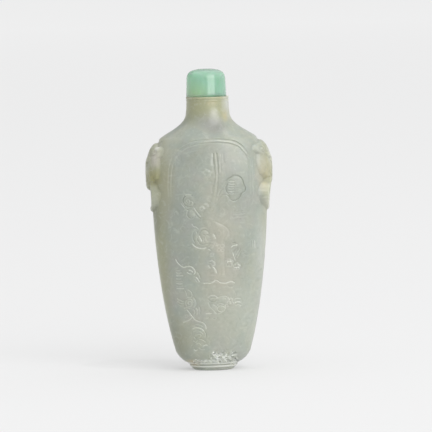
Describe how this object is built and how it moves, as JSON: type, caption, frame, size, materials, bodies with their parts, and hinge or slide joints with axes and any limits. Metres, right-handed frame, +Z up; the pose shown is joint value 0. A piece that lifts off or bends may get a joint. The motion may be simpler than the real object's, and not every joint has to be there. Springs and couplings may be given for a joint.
{
  "type": "snuff bottle",
  "caption": "Slender flattened jade snuff bottle with a carved landscape, mask and ring handles in relief, a low foot and a domed green stopper.",
  "frame": {"origin": "middle of the foot's underside, on the surface the bottle stands on", "axes": "+Z up along the bottle, the carved face towards -Y, the masks on the narrow sides at +X and -X"},
  "size_m": [0.032, 0.0184, 0.076],
  "materials": {
    "jade": "softly polished translucent pale grey-green jade with olive, beige and tan clouds",
    "stopper_stone": "glossy translucent mint-green stone or glass"
  },
  "bodies": {
    "root": {"bottle": "jade", "stopper": "stopper_stone"}
  },
  "joints": []
}
